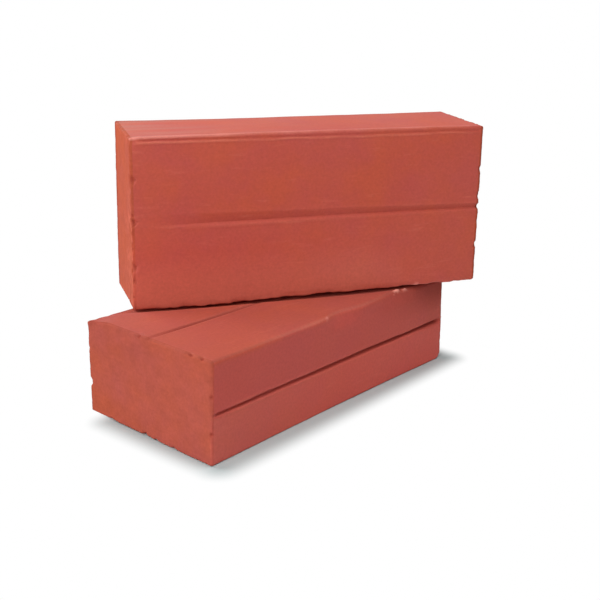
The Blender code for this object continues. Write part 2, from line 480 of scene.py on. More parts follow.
# Floor: what it throws back, the darker colour seen of it beside the clay as a painted shadow round the
# lower bar, and how far out it turns plain white
FLOOR_SIZE = 8
FLOOR_THROWN_BACK = (0.85, 0.85, 0.85, 1)
FLOOR_PAINTED_SHADOW = (0.43, 0.49, 0.49, 1)
FLOOR_WHITE = 8 * MM
FLOOR_INSET = 9 * MM
FLOOR_OUTSET = 2 * MM

# Soft boxes: azimuth and elevation in degrees, and power. All are as far off and as large
LAMPS = {
    "left_box": (-75, 35, 2.23),
    "left_back_box": (-165, 35, 2.55),
    "front_low_box": (-45, 15, 0.34),
    "right_high_box": (40, 62, 1.53),
}
LAMP_DISTANCE = 0.55
LAMP_SIZE = 0.40
LAMP_AIM = Vector((0, 0, 36 * MM))
AMBIENT = 0.02


def deselect_all():
    bpy.ops.object.select_all(action="DESELECT")


def fade(distance, reach):
    """1 at no distance, easing to 0 at the reach."""
    near = np.clip(1 - distance / reach, 0, 1)
    return near * near * (3 - 2 * near)


def between(near, far, along):
    """A value that changes evenly from the near end to the far end."""
    return near + (far - near) * along


def lumps(points, wavelength, seed):
    """Smooth noise between about -1 and 1 at each point."""
    shift = Vector((17.3 * seed, -9.1 * seed, 5.7 * seed))
    scale = 1 / wavelength
    return np.array([noise.noise(Vector(p) * scale + shift) for p in points])


def half_sizes(length):
    return np.array((length, BAR_WIDTH, BAR_THICKNESS)) / 2


def edge_places(half, step):
    """Loop places across a side: close near both edges, then even steps between."""
    places = [half - inward for inward in EDGE_STEPS if inward < half]
    inner = places[-1]
    count = max(1, round(2 * inner / step))
    middle = [-inner + 2 * inner * i / count for i in range(1, count)]
    return [-p for p in places] + middle + places


def centre_places(half, step, centre_steps):
    """Loop places across a side with a mark along its middle."""
    edges = [half - inward for inward in EDGE_STEPS if inward < half / 2]
    marks = list(centre_steps)
    outer = edges[-1]
    inner = marks[-1]
    count = max(1, round((outer - inner) / step))
    middle = [inner + (outer - inner) * i / count for i in range(1, count)]
    side = marks + middle + edges
    return [-p for p in side] + [0.0] + side


def cut_loops(axis, places):
    for place in places:
        bpy.ops.mesh.select_all(action="SELECT")
        bpy.ops.mesh.bisect(plane_co=axis * place, plane_no=axis)


def clay_block(name, length):
    """A plain block about its own middle, with loops close together near its edges and marks."""
    deselect_all()
    bpy.ops.mesh.primitive_cube_add(size=1)
    block = bpy.context.object
    block.name = name
    block.data.name = name
    bpy.ops.object.mode_set(mode="EDIT")
    bpy.ops.transform.resize(value=(length, BAR_WIDTH, BAR_THICKNESS))
    cut_loops(Vector((1, 0, 0)), edge_places(length / 2, LENGTH_STEP))
    cut_loops(Vector((0, 1, 0)), centre_places(BAR_WIDTH / 2, WIDTH_STEP, GROOVE_STEPS))
    cut_loops(Vector((0, 0, 1)), centre_places(BAR_THICKNESS / 2, THICKNESS_STEP, SCORE_STEPS))
    bpy.ops.object.mode_set(mode="OBJECT")
    fine = block.modifiers.new("fine", "SUBSURF")
    fine.subdivision_type = "SIMPLE"
    fine.levels = FINE_LEVELS
    fine.render_levels = FINE_LEVELS
    bpy.ops.object.modifier_apply(modifier=fine.name)
    bpy.ops.object.shade_smooth()
    return block


class Clay:
    """A block's points while they are worked, and how far each lay from the block's faces and edges."""

    def __init__(self, block, length):
        self.block = block
        self.half = half_sizes(length)
        points = np.empty(len(block.data.vertices) * 3)
        block.data.vertices.foreach_get("co", points)
        self.home = points.reshape(-1, 3)
        self.points = self.home.copy()
        self.side = np.sign(self.home)
        self.inside = self.half - np.abs(self.home)
        self.from_near = self.home[:, 0] + self.half[0]
        self.from_far = self.half[0] - self.home[:, 0]
        self.along = self.from_near / (2 * self.half[0])
        self.to_end_edge = np.hypot(self.inside[:, 0], self.inside[:, 1:].min(axis=1))
        self.to_long_edge = np.hypot(self.inside[:, 1], self.inside[:, 2])
        self.by_met_edge = (self.side[:, 1] < 0) & (self.side[:, 2] > 0)
        self.by_rim = (self.side[:, 1] > 0) & (self.side[:, 2] > 0)
        self.marks = {mark: np.zeros(len(self.home)) for mark in MARKS}

    def skin(self, face, reach):
        """1 on one face of the block, easing to 0 at a reach under it."""
        axis, way = face
        return (self.side[:, axis] == way) * fade(self.inside[:, axis], reach)

    def ripple(self, layer, stretch=ALL_WAYS):
        """Noise over the block: how strong it is, how long its waves are, and its seed."""
        strength, wavelength, seed = layer
        return strength * lumps(self.home * stretch, wavelength, seed)

    def stain(self, mark, amount):
        self.marks[mark] = np.maximum(self.marks[mark], np.clip(amount, 0, 1))

    def set_down(self, place):
        """Puts the worked points where the frame has the bar, and keeps the marks for its materials."""
        mesh = self.block.data
        world = self.points @ np.array(place.to_3x3()).T + np.array(place.translation)
        mesh.vertices.foreach_set("co", world.ravel())
        for mark, amount in self.marks.items():
            mesh.attributes.new(mark, "FLOAT", "POINT").data.foreach_set("value", amount)
        mesh.update()

    def dress(self, smooth_clay, cut_clay):
        """The ends get the wire-cut clay, to just over their edges, and the rest the smooth clay."""
        mesh = self.block.data
        mesh.materials.append(smooth_clay)
        mesh.materials.append(cut_clay)
        corners = np.empty(len(mesh.loops), dtype=np.int32)
        mesh.loops.foreach_get("vertex_index", corners)
        on_end = (self.inside[:, 0] < CUT_WRAP)[corners.reshape(-1, 4)].all(axis=1)
        mesh.polygons.foreach_set("material_index", on_end.astype(np.int32))


def round_edges(clay, end_radii, long_radius):
    """Rounds all the edges: at the wire-cut ends, near and far, and along the bar."""
    radius = np.empty_like(clay.points)
    radius[:, 0] = np.where(clay.side[:, 0] < 0, end_radii[0], end_radii[1])
    radius[:, 1] = long_radius
    radius[:, 2] = long_radius
    inner = np.clip(clay.points, radius - clay.half, clay.half - radius)
    out = (clay.points - inner) / radius
    length = np.linalg.norm(out, axis=1, keepdims=True)
    reach = np.abs(out).max(axis=1, keepdims=True)
    out *= np.where(length > 0, reach / np.maximum(length, 1e-9), 1)
    clay.points = inner + out * radius


def rubbed_edge_radius(clay):
    """The lower bar's edge between its scored side and its top is worn rounder by rubbing towards the
    far end.
    """
    rounder = between(RUBBED_EDGE_NEAR_RADIUS, RUBBED_EDGE_FAR_RADIUS, clay.along)
    return np.where(clay.by_met_edge, rounder, LONG_EDGE_RADIUS)


def from_upper_front(clay):
    """How far the lower bar's points lie before the upper bar's front edge, and how far along it."""
    to_lower = LOWER_PLACE.inverted() @ UPPER_PLACE
    edge = np.array(to_lower @ Vector((0, -BAR_WIDTH / 2, BAR_THICKNESS / 2)))
    forward = np.array(to_lower.to_3x3() @ Vector((0, 0, 1)))
    onward = np.array(to_lower.to_3x3() @ Vector((1, 0, 0)))
    in_front = (clay.home - edge) @ forward
    along = (clay.home - edge) @ onward + UPPER_LENGTH / 2
    return in_front, along


def lower_groove_shut(clay):
    """How far the lower bar's groove is shut: smeared at the near end, pressed before the upper bar."""
    in_front, _ = from_upper_front(clay)
    smeared = LOWER_SMEARED * fade(clay.from_near, LOWER_SMEAR)
    pressed = (clay.side[:, 2] > 0) * fade(np.abs(in_front), PRESSED_SHUT)
    return np.maximum(smeared, pressed)


def press_grooves(clay, shut, depth, near_slope, far_slope, near_drop, far_drop, painted_shade):
    """The die's groove along both broad faces, near their middle, with painted shade in it and painted
    highlights on its lips.
    """
    across = clay.home[:, 1] + between(near_drop, far_drop, clay.along)
    slope_width = between(near_slope, far_slope, clay.along)
    slope = np.clip(1 - across / slope_width, 0, 1)
    wall = np.clip(1 + across / GROOVE_WALL, 0, 1)
    uneven = GROOVE_EVEN + clay.ripple(GROOVE_RIPPLE, LENGTHWAYS)
    pressed = np.where(across > 0, slope, wall) * uneven * (1 - shut)
    wall_lip = fade(np.abs(across + GROOVE_WALL + GROOVE_LIP_WIDTH / 2), GROOVE_LIP_WIDTH)
    slope_lip = fade(np.abs(across - slope_width - GROOVE_LIP_WIDTH / 2), GROOVE_LIP_WIDTH)
    lips = wall_lip * (1 - WALL_LIP_DIES_AWAY * clay.along) + SLOPE_LIP * slope_lip
    lips *= 1 - shut
    on_face = fade(clay.inside[:, 2], MARK_REACH)
    clay.points[:, 2] -= clay.side[:, 2] * on_face * (depth * pressed - GROOVE_LIP * lips)
    surface = fade(clay.inside[:, 2], THIN_SKIN)
    clay.stain("shade_in_hollows", surface * np.sqrt(pressed) * painted_shade)
    smeared = fade(np.abs(across - SMEAR_PLACE), SMEAR_WIDTH) * shut
    clay.stain("pale_rub_and_highlight", surface * np.maximum(SMEAR_PALE * smeared, GROOVE_LIP_HIGHLIGHT * lips))


def cut_score(clay):
    """The thin score along the -Y side, smeared shut at both ends, with painted shade in it and a
    painted highlight on its lips.
    """
    drop = between(SCORE_NEAR_DROP, SCORE_FAR_DROP, clay.along)
    depth = between(SCORE_NEAR_DEPTH, SCORE_FAR_DEPTH, clay.along)
    painted_shade = between(SCORE_NEAR_SHADE, SCORE_FAR_SHADE, clay.along)
    half_width = between(SCORE_NEAR_HALF_WIDTH, SCORE_FAR_HALF_WIDTH, clay.along)
    half_width *= 1 + clay.ripple(SCORE_RIPPLE, LENGTHWAYS)
    across = np.abs(clay.home[:, 2] + drop)
    shut = SCORE_SMEARED * (fade(clay.from_near, SCORE_SMEAR) + fade(clay.from_far, SCORE_SMEAR))
    cut = np.clip(SCORE_STEEPNESS * (1 - across / half_width), 0, 1) * (1 - shut)
    lip = fade(np.abs(across - SCORE_LIP_PLACE), SCORE_LIP_WIDTH)
    lip *= SCORE_LIP_EVEN + clay.ripple(SCORE_LIP_RIPPLE, LENGTHWAYS)
    clay.points[:, 1] += clay.skin(SCORED_SIDE, MARK_REACH) * (depth * cut - SCORE_LIP * lip)
    surface = clay.skin(SCORED_SIDE, THIN_SKIN)
    clay.stain("shade_in_hollows", painted_shade * surface * cut)
    clay.stain("pale_rub_and_highlight", SCORE_LIP_HIGHLIGHT * surface * lip)


def raise_rim(clay):
    """A rim on the edge between the +Y side and the +Z face, pale with a painted highlight, and a valley
    with painted shade and a bead with a painted highlight under it.
    """
    uneven = clay.ripple(RIM_RIPPLE, LENGTHWAYS) + clay.ripple(RIM_FINE_RIPPLE, LENGTHWAYS)
    lively = clay.by_rim * np.clip(RIM_EVEN + uneven, RIM_LEAST, RIM_MOST)
    rim = lively * (1 - RIM_DIES_AWAY * clay.from_near / clay.half[0])
    rim *= fade(np.abs(clay.inside[:, 2] - RIM_PLACE), RIM_WIDTH)
    clay.points[:, 1] += RIM_HEIGHT * rim * fade(clay.inside[:, 1], MARK_REACH)
    grown = np.clip(clay.from_near / RIM_DOWN_GROWS, 0, 1)
    down_face = between(RIM_DOWN_NEAR, RIM_DOWN_FAR, grown)
    clay.stain("burr_and_highlight", RIM_HIGHLIGHT * rim * fade(clay.inside[:, 1], down_face))

    started = 1 - fade(clay.from_near, RIM_START)
    higher = RIM_LINES_HIGHER * fade(clay.from_near, RIM_LINES_LEVEL)
    bead_place = BEAD_PLACE - higher + clay.ripple(BEAD_RIPPLE, LENGTHWAYS)
    bead = lively * started * fade(np.abs(clay.inside[:, 1] - bead_place), RIM_LINE_WIDTH)
    valley = clay.by_rim * np.clip(VALLEY_EVEN + VALLEY_RIPPLE * uneven, VALLEY_LEAST, VALLEY_MOST)
    valley *= started * fade(np.abs(clay.inside[:, 1] - VALLEY_PLACE + higher), RIM_LINE_WIDTH)
    on_face = fade(clay.inside[:, 2], MARK_REACH)
    clay.points[:, 2] += on_face * (BEAD_HEIGHT * bead - VALLEY_DEPTH * valley)
    surface = fade(clay.inside[:, 2], THIN_SKIN)
    clay.stain("pale_rub_and_highlight", BEAD_HIGHLIGHT * bead * surface)
    clay.stain("shade_in_hollows", VALLEY_SHADE * valley * surface)


def wear_foot(clay):
    """Ragged wear along the upper bar's lower front edge."""
    ragged = clay.ripple(WEAR_RIPPLE) + clay.ripple(WEAR_FINE_RIPPLE)
    worn = np.clip(WEAR_EVEN + WEAR_RAGGED * ragged, 0, WEAR_MOST)
    worn *= clay.by_met_edge * fade(clay.to_long_edge, WEAR_REACH)
    clay.points += WEAR_DEPTH * worn[:, None] * np.array((0, 1, -1)) * DIAGONAL


def press_long_edge(clay):
    """The edge between the lower bar's scored side and its top is pushed in along two stretches."""
    edge = clay.skin(BROAD_FACE, PRESSED_EDGE_DOWN) * clay.skin(SCORED_SIDE, PRESSED_EDGE_IN)
    for place, half_length, depth in PRESSED_EDGE:
        clay.points[:, 1] += depth * edge * fade(np.abs(clay.from_near - place), half_length)


def press_dent(clay):
    """The dent in the lower bar's top along the upper bar's front edge, with a pale lip before it and
    painted shade along it.
    """
    in_front, along = from_upper_front(clay)
    pressed = np.where(in_front > 0, fade(in_front, DENT_IN_FRONT), fade(-in_front, DENT_UNDER))
    more = fade(np.abs(along - DENT_MORE_PLACE), DENT_MORE_HALF_LENGTH)
    less = fade(np.abs(along - DENT_LESS_PLACE), DENT_LESS_HALF_LENGTH)
    depth = (DENT_DEPTH + DENT_MORE * more - DENT_LESS * less) * pressed
    clay.points[:, 2] -= depth * clay.skin(BROAD_FACE, DENT_DOWN)
    lip = fade(np.abs(in_front - DENT_LIP_PLACE), DENT_LIP_WIDTH)
    clay.stain("pale_rub_and_highlight", DENT_LIP * lip * clay.skin(BROAD_FACE, THIN_SKIN))
    # painted shade on the top along the contact with the upper bar
    contact_shade = fade(np.abs(along - DENT_SHADE_PLACE), DENT_SHADE_HALF_LENGTH)
    contact_shade *= fade(np.abs(in_front), DENT_SHADE_REACH)
    clay.stain("torn_and_shade", DENT_SHADE * contact_shade * clay.skin(BROAD_FACE, THICK_SKIN))


def sag_front(clay):
    """The upper bar's front edge sinks towards the bar under it, most of all along one stretch."""
    low = clay.skin(SCORED_SIDE, SAG_UP) * clay.skin(BROAD_FACE, SAG_BACK)
    more = fade(np.abs(clay.from_near - SAG_MORE_PLACE), SAG_MORE_HALF_LENGTH)
    clay.points[:, 1] -= (SAG + SAG_MORE * more) * low


def swell_faces(clay):
    """Soft clay is never quite flat."""
    for axis in range(3):
        for strength, wavelength, first_seed in (SWELL, UNEVEN):
            clay.points[:, axis] += clay.ripple((strength, wavelength, first_seed + axis))


def pull_corners(clay, pulls):
    """Pulls corners out of square, dying away along the bar faster than across it."""
    for corner, way in pulls:
        nearness = (1 + clay.home / clay.half * corner) / 2
        amount = nearness[:, 0] ** PULL_SHARPNESS * nearness[:, 1] * nearness[:, 2]
        clay.points += amount[:, None] * np.array(way)


def knock_corners(clay, knocks):
    """Corners knocked round."""
    for corner, way, reach in knocks:
        away = np.linalg.norm(clay.home - clay.half * corner, axis=1)
        clay.points += fade(away, reach)[:, None] * np.array(way)


def facing_other(clay, place, other_place, other_length, across):
    """Which points lie over or under the other bar, given the axis across it that lies level."""
    to_other = np.array(other_place.inverted() @ place)
    at = clay.points @ to_other[:3, :3].T + to_other[:3, 3]
    near = np.abs(at) < half_sizes(other_length) + SETTLED_MARGIN
    return near[:, 0] & near[:, across]


def settle_lower(clay):
    """The underside lies flat on the floor, and the top stays under the bar that stands on it."""
    under = facing_other(clay, LOWER_PLACE, UPPER_PLACE, UPPER_LENGTH, across=2)
    high = clay.points[:, 2]
    flat = np.where(under, np.minimum(high, clay.half[2] + SETTLED), high)
    clay.points[:, 2] = np.maximum(flat, -clay.half[2])


def settle_upper(clay):
    """The underside stays above the bar under it, behind the front edge that sags."""
    over = facing_other(clay, UPPER_PLACE, LOWER_PLACE, LOWER_LENGTH, across=1)
    behind = clay.half[2] - clay.home[:, 2] > SAG_BACK
    high = clay.points[:, 1]
    clay.points[:, 1] = np.where(over & behind, np.maximum(high, -clay.half[1] - SETTLED), high)


def inward_from_end(clay):
    """The way into the clay from the nearest edge of an end face."""
    way = np.zeros_like(clay.home)
    way[:, 0] = -clay.side[:, 0]
    across_nearer = clay.inside[:, 1] < clay.inside[:, 2]
    way[:, 1] = np.where(across_nearer, -clay.side[:, 1], 0)
    way[:, 2] = np.where(across_nearer, 0, -clay.side[:, 2])
    return way * DIAGONAL


def tear_chips(clay, end, chips):
    """Chips that the wire tore from the edges of one end face."""
    rough = 1 + clay.ripple(CHIP_RIPPLE)
    way = inward_from_end(clay)
    for across, through, half_length in chips:
        place = clay.half * (end, across, through)
        depth = CHIP_DEPTH_RATIO * half_length
        size = np.full(3, CHIP_BREADTH_RATIO * depth)
        size[1 if abs(through) == 1 else 2] = half_length
        away = np.linalg.norm((clay.home - place) / size, axis=1) * rough
        amount = fade(away, CHIP_REACH)
        clay.points += way * (amount * depth)[:, None]
        # the chip is painted dark: partly torn clay, partly painted shade in its hollow
        clay.stain("torn_and_shade", amount)


def fray_ends(clay):
    """Small ragged losses all along the edges of the end faces."""
    loss = clay.ripple(RAGGED_RIPPLE) + clay.ripple(RAGGED_FINE_RIPPLE)
    loss = np.clip(loss - RAGGED_WHOLE, 0, 1) * fade(clay.to_end_edge, RAGGED_REACH)
    clay.points += inward_from_end(clay) * (RAGGED_DEPTH * loss)[:, None]
    # the losses are painted dark: partly torn clay, partly painted shade
    clay.stain("torn_and_shade", RAGGED_DARK * loss)


def raise_burrs(clay, amount, dark):
    """Burrs that the wire left round the end faces, pale on the face, with painted shade behind it."""
    burr_and_highlight = np.clip(clay.ripple(BURR_RIPPLE) - BURR_BARE, 0, 1) * fade(clay.to_end_edge, BURR_REACH)
    burr_and_highlight *= 1 - clay.marks["torn_and_shade"]
    clay.points -= inward_from_end(clay) * (amount * BURR_HEIGHT * burr_and_highlight)[:, None]
    on_end = fade(clay.inside[:, 0], END_SKIN)
    clay.stain("burr_and_highlight", BURR_PALE * amount * burr_and_highlight * on_end)
    line = np.clip(BURR_LINE_EVEN + clay.ripple(BURR_LINE_RIPPLE), 0, 1)
    line *= fade(np.abs(clay.to_end_edge - BURR_LINE_PLACE), BURR_LINE_WIDTH)
    clay.stain("pale_rub_and_highlight", BURR_LINE_PALE * amount * line * on_end)
    broken = np.clip(BURR_DARK_EVEN + clay.ripple(BURR_DARK_RIPPLE), 0, 1)
    broken *= between(BURR_DARK_HIGH_UP, 1, fade(clay.home[:, 1], BURR_DARK_LOW_DOWN))
    broken *= (1 - BURR_DARK_OFF_END * on_end) * fade(clay.to_end_edge, BURR_DARK_REACH)
    clay.stain("torn_and_shade", dark * broken)


def drag_end(clay):
    """Pale drags that the wire left on the near end, beside the +Z face and most of all low down."""
    patchy = np.clip(DRAG_EVEN + clay.ripple(DRAG_RIPPLE) + clay.ripple(DRAG_FINE_RIPPLE), 0, 1)
    beside = fade(clay.half[2] - clay.home[:, 2], DRAG_FROM_FACE)
    beside *= between(DRAG_HIGH_UP, 1, fade(clay.home[:, 1], DRAG_LOW_DOWN))
    clay.stain("pale_rub_and_highlight", patchy * beside * fade(clay.from_near, END_SKIN))


def dust_top(clay):
    """Dust on the lower bar's top."""
    clay.stain("dust_and_sheen", LOWER_TOP_DUST * clay.skin(BROAD_FACE, SKIN))


def streak_top(clay):
    """Streaks along the upper bar's top, partly dust and partly a painted sheen, most of all at the near
    end; the far end is painted darker as shade.
    """
    on_top = clay.skin(RIM_SIDE, SKIN)
    streaks = clay.ripple(TOP_STREAKS, TOP_STREAKS_DRAWN_OUT)
    streaks += clay.ripple(TOP_PATCHES, TOP_PATCHES_DRAWN_OUT)
    near = fade(clay.from_near, TOP_DUST_REACH)
    amount = between(TOP_DUST_FAR, TOP_DUST_NEAR, near)
    cover = np.clip(TOP_DUST_EVEN + TOP_DUST_COVER * near + streaks, 0, 1)
    clay.stain("dust_and_sheen", amount * on_top * cover)
    clay.stain("torn_and_shade", TOP_FAR_SHADE * on_top * (1 - near))


def redden_side(clay):
    """The scored side is crimson over the score, and redder under it with painted light, reddest at the
    far end.
    """
    on_side = clay.skin(SCORED_SIDE, SKIN)
    under = np.clip(-clay.home[:, 2] / RED_SIDE_BLEND, 0, 1)
    clay.stain("painted_light", between(RED_SIDE_NEAR, RED_SIDE_FAR, clay.along) * on_side * under)
    clay.stain("dust_and_sheen", SIDE_DUST * on_side * under * fade(clay.from_near, SIDE_DUST_REACH))
    within = 1 - fade(clay.from_near, CRIMSON_FROM_END)
    within *= 1 - fade(clay.inside[:, 2], CRIMSON_FROM_TOP)
    nearer = 1 - clay.along ** CRIMSON_DIES_AWAY
    clay.stain("crimson", CRIMSON_SIDE * nearer * on_side * within * (1 - under))


def shade_edges(clay, edges):
    """Painted shade along edges and painted shadow in corners."""
    for faces, reach, amount in edges:
        away = (clay.half - clay.home * faces) / reach
        away = np.linalg.norm(away[:, np.abs(faces) == 1], axis=1)
        clay.stain("torn_and_shade", amount * fade(away, 1))


def shade_top(clay):
    """Painted shade on the lower bar's top along its near end, and a painted shadow of the upper bar
    towards one corner of it.
    """
    on_top = clay.skin(BROAD_FACE, THICK_SKIN)
    from_corner = np.linalg.norm(clay.home - clay.half * (-1, 1, 1), axis=1)
    clay.stain("torn_and_shade", TOP_CORNER_SHADE * on_top * fade(from_corner, TOP_CORNER_REACH))
    clay.stain("torn_and_shade", TOP_NEAR_SHADE * on_top * fade(clay.from_near, TOP_NEAR_REACH))


def redden_foot(clay):
    """The upper bar's front is redder low down, most of all at the near end, and paler at its foot:
    painted light that lifts the shade there.
    """
    on_front = clay.skin(BROAD_FACE, THIN_SKIN)
    up = clay.home[:, 1] + clay.half[1]
    red = fade(up, RED_FOOT_UP) * fade(clay.from_near, RED_FOOT_ALONG)
    clay.stain("painted_light", RED_FOOT * on_front * red)
    past_whole = np.maximum(clay.from_near - PALE_FOOT_WHOLE, 0)
    pale = fade(up, PALE_FOOT_UP) * fade(past_whole, PALE_FOOT_FADE)
    clay.stain("pale_rub_and_highlight", PALE_FOOT * on_front * pale)
    clay.stain("burr_and_highlight", PALE_FOOT_EDGE * on_front * fade(up, PALE_FOOT_EDGE_UP))


def leave_crumbs(clay, crumbs):
    """Crumbs on the edge between the -Y side and the +Z face."""
    rough = 1 + clay.ripple(CRUMB_RIPPLE)
    for along, half_length, height, pale in crumbs:
        away = np.hypot((clay.home[:, 0] - along) / half_length, clay.to_long_edge / CRUMB_WIDTH)
        crumb = clay.by_met_edge * fade(away * rough, CRUMB_REACH)
        clay.points += (height * crumb)[:, None] * CRUMB_WAY
        clean = np.clip(CRUMB_CLEAN * crumb, 0, 1)
        clay.stain("burr_and_highlight", clean)
        clay.stain("crumb", pale * crumb)
        clay.marks["torn_and_shade"] *= 1 - clean


def highlight_long_edge(clay):
    """A painted highlight along the edge between the -Y side and the +Z face, most along one stretch."""
    patchy = np.clip(EDGE_HIGHLIGHT_EVEN + clay.ripple(EDGE_HIGHLIGHT_RIPPLE), 0, 1)
    stretch = fade(np.abs(clay.from_near - EDGE_HIGHLIGHT_PLACE), EDGE_HIGHLIGHT_HALF_LENGTH)
    away = np.hypot(clay.inside[:, 1] / EDGE_HIGHLIGHT_ON_TOP, clay.inside[:, 2] / EDGE_HIGHLIGHT_DOWN_SIDE)
    pale_rub_and_highlight = patchy * between(EDGE_HIGHLIGHT_ELSEWHERE, 1, stretch) * fade(away, 1)
    clay.stain("pale_rub_and_highlight", clay.by_met_edge * pale_rub_and_highlight)


def node_makers(tree):
    """Makers of nodes and links in one node tree."""

    def add(kind, **settings):
        made = tree.nodes.new(kind)
        for key, value in settings.items():
            setattr(made, key, value)
        return made

    return add, tree.links.new


def red_clay(name, place, colours, cut):
    """Red clay: waxy and streaked where the die smoothed it, dull and dragged where the wire cut it."""
    material = bpy.data.materials.new(name)
    material.use_nodes = True
    shader = material.node_tree.nodes["Principled BSDF"]
    add, link = node_makers(material.node_tree)

    to_bar = place.inverted()
    coordinates = add("ShaderNodeTexCoord")
    along_bar = add("ShaderNodeMapping")
    along_bar.inputs["Location"].default_value = to_bar.translation
    along_bar.inputs["Rotation"].default_value = to_bar.to_euler("XYZ")
    link(coordinates.outputs["Object"], along_bar.inputs["Vector"])

    def clouds(scale, detail, stretch=ALL_WAYS):
        """Noise on the bar's own axes, with the scale in waves a metre."""
        stretched = add("ShaderNodeMapping", vector_type="TEXTURE")
        stretched.inputs["Scale"].default_value = stretch
        link(along_bar.outputs["Vector"], stretched.inputs["Vector"])
        made = add("ShaderNodeTexNoise")
        made.inputs["Scale"].default_value = scale
        made.inputs["Detail"].default_value = detail
        made.inputs["Roughness"].default_value = NOISE_ROUGHNESS
        link(stretched.outputs["Vector"], made.inputs["Vector"])
        return made.outputs["Fac"]

    def mark(attribute):
        made = add("ShaderNodeAttribute", attribute_name=attribute)
        return made.outputs["Fac"]

    def ranged(value, low, high, to_low, to_high):
        made = add("ShaderNodeMapRange")
        limits = {"From Min": low, "From Max": high, "To Min": to_low, "To Max": to_high}
        for key, number in limits.items():
            made.inputs[key].default_value = number
        link(value, made.inputs["Value"])
        return made.outputs["Result"]

    def maths(operation, first, second):
        made = add("ShaderNodeMath", operation=operation)
        for socket, value in zip(made.inputs, (first, second)):
            if isinstance(value, (int, float)):
                socket.default_value = value
            else:
                link(value, socket)
        return made.outputs["Value"]

    def blended(factor, first, second):
        made = add("ShaderNodeMix", data_type="RGBA")
        link(factor, made.inputs["Factor"])
        for socket, value in ((made.inputs[6], first), (made.inputs[7], second)):
            if isinstance(value, tuple):
                socket.default_value = value
            else:
                link(value, socket)
        return made.outputs[2]

    bloom = clouds(*BLOOM_CLOUDS)
    grain = clouds(*GRAIN)
    lines = clouds(*(CUT_LINES if cut else DIE_LINES))
    colour = blended(ranged(clouds(*MOTTLE), *MOTTLE_BLEND), *colours)
    if not cut:
        colour = blended(ranged(bloom, *BLOOM_BLEND), colour, BLOOM)
        colour = blended(ranged(clouds(*SCUFFS), *SCUFF_BLEND), colour, PALE_RUB_AND_HIGHLIGHT)
    # The marks blend in their colours, among them painted light, painted shade and painted highlights
    for attribute, (starts, whole, most, tint) in MARKS.items():
        colour = blended(ranged(mark(attribute), starts, whole, 0, most), colour, tint)
    value = ranged(grain, *GRAIN_VALUE)
    if cut:
        value = maths("MULTIPLY", value, ranged(lines, *CUT_LINE_VALUE))
        value = maths("MULTIPLY", value, ranged(clouds(*CUT_PITS), *GRAIN_VALUE))
    speckled = add("ShaderNodeHueSaturation")
    link(colour, speckled.inputs["Color"])
    link(value, speckled.inputs["Value"])
    link(speckled.outputs["Color"], shader.inputs["Base Color"])

    waxy = ranged(bloom, *(CUT_DULLNESS if cut else SMOOTH_DULLNESS))
    torn_and_shade = ranged(mark("torn_and_shade"), *TORN_DULLNESS)
    shade_in_hollows = ranged(mark("shade_in_hollows"), *HOLLOW_DULLNESS)
    link(maths("ADD", waxy, maths("ADD", torn_and_shade, shade_in_hollows)), shader.inputs["Roughness"])
    shader.inputs["IOR"].default_value = CLAY_IOR
    shader.inputs["Specular IOR Level"].default_value = CUT_GLOSS if cut else SMOOTH_GLOSS

    relief = maths("ADD", lines, maths("MULTIPLY", grain, GRAIN_RELIEF))
    bump = add("ShaderNodeBump")
    bump.inputs["Strength"].default_value = RELIEF_STRENGTH
    bump.inputs["Distance"].default_value = RELIEF_DEPTH
    link(relief, bump.inputs["Height"])
    link(bump.outputs["Normal"], shader.inputs["Normal"])
    return material


def finished_bar(clay, name, node, place, cut_colours):
    """Sets the worked clay down, dresses it, and hangs it on the frame in place of its solid."""
    clay.set_down(place)
    smooth = red_clay(name + "_smooth", place, SMOOTH_CLAY, cut=False)
    clay.dress(smooth, red_clay(name + "_cut", place, cut_colours, cut=True))
    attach(clay.block, node)
    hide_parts(node)


def lower_clay():
    """The bar that lies flat, its near end towards the camera and its scored side to the right."""
    clay = Clay(clay_block("lower_clay", LOWER_LENGTH), LOWER_LENGTH)
    round_edges(clay, LOWER_END_RADII, rubbed_edge_radius(clay))
    press_grooves(clay, lower_groove_shut(clay), **LOWER_GROOVE)
    cut_score(clay)
    raise_rim(clay)
    highlight_long_edge(clay)
    dust_top(clay)
    redden_side(clay)
    swell_faces(clay)
    tear_chips(clay, -1, LOWER_NEAR_CHIPS)
    tear_chips(clay, 1, LOWER_FAR_CHIPS)
    fray_ends(clay)
    raise_burrs(clay, LOWER_BURRS, LOWER_BURRS_DARK)
    press_long_edge(clay)
    shade_edges(clay, LOWER_EDGE_SHADE)
    shade_top(clay)
    leave_crumbs(clay, LOWER_CRUMBS)
    knock_corners(clay, LOWER_KNOCKS)
    press_dent(clay)
    pull_corners(clay, LOWER_PULLS)
    settle_lower(clay)
    finished_bar(clay, "lower_clay", "lower_bar", LOWER_PLACE, LOWER_CUT_CLAY)


def upper_clay():
    """The bar that stands on its scored side, with its rim at the top."""
    clay = Clay(clay_block("upper_clay", UPPER_LENGTH), UPPER_LENGTH)
    round_edges(clay, UPPER_END_RADII, LONG_EDGE_RADIUS)
    press_grooves(clay, fade(clay.from_near, UPPER_SMEAR), **UPPER_GROOVE)
    cut_score(clay)
    raise_rim(clay)
    wear_foot(clay)
    swell_faces(clay)
    tear_chips(clay, -1, UPPER_NEAR_CHIPS)
    tear_chips(clay, 1, UPPER_FAR_CHIPS)
    fray_ends(clay)
    raise_burrs(clay, UPPER_BURRS, UPPER_BURRS_DARK)
    drag_end(clay)
    shade_edges(clay, UPPER_EDGE_SHADE)
    redden_foot(clay)
    streak_top(clay)
    leave_crumbs(clay, UPPER_CRUMBS)
    knock_corners(clay, UPPER_KNOCKS)
    sag_front(clay)
    pull_corners(clay, UPPER_PULLS)
    settle_upper(clay)
    finished_bar(clay, "upper_clay", "upper_bar", UPPER_PLACE, UPPER_LIT_CUT_CLAY)


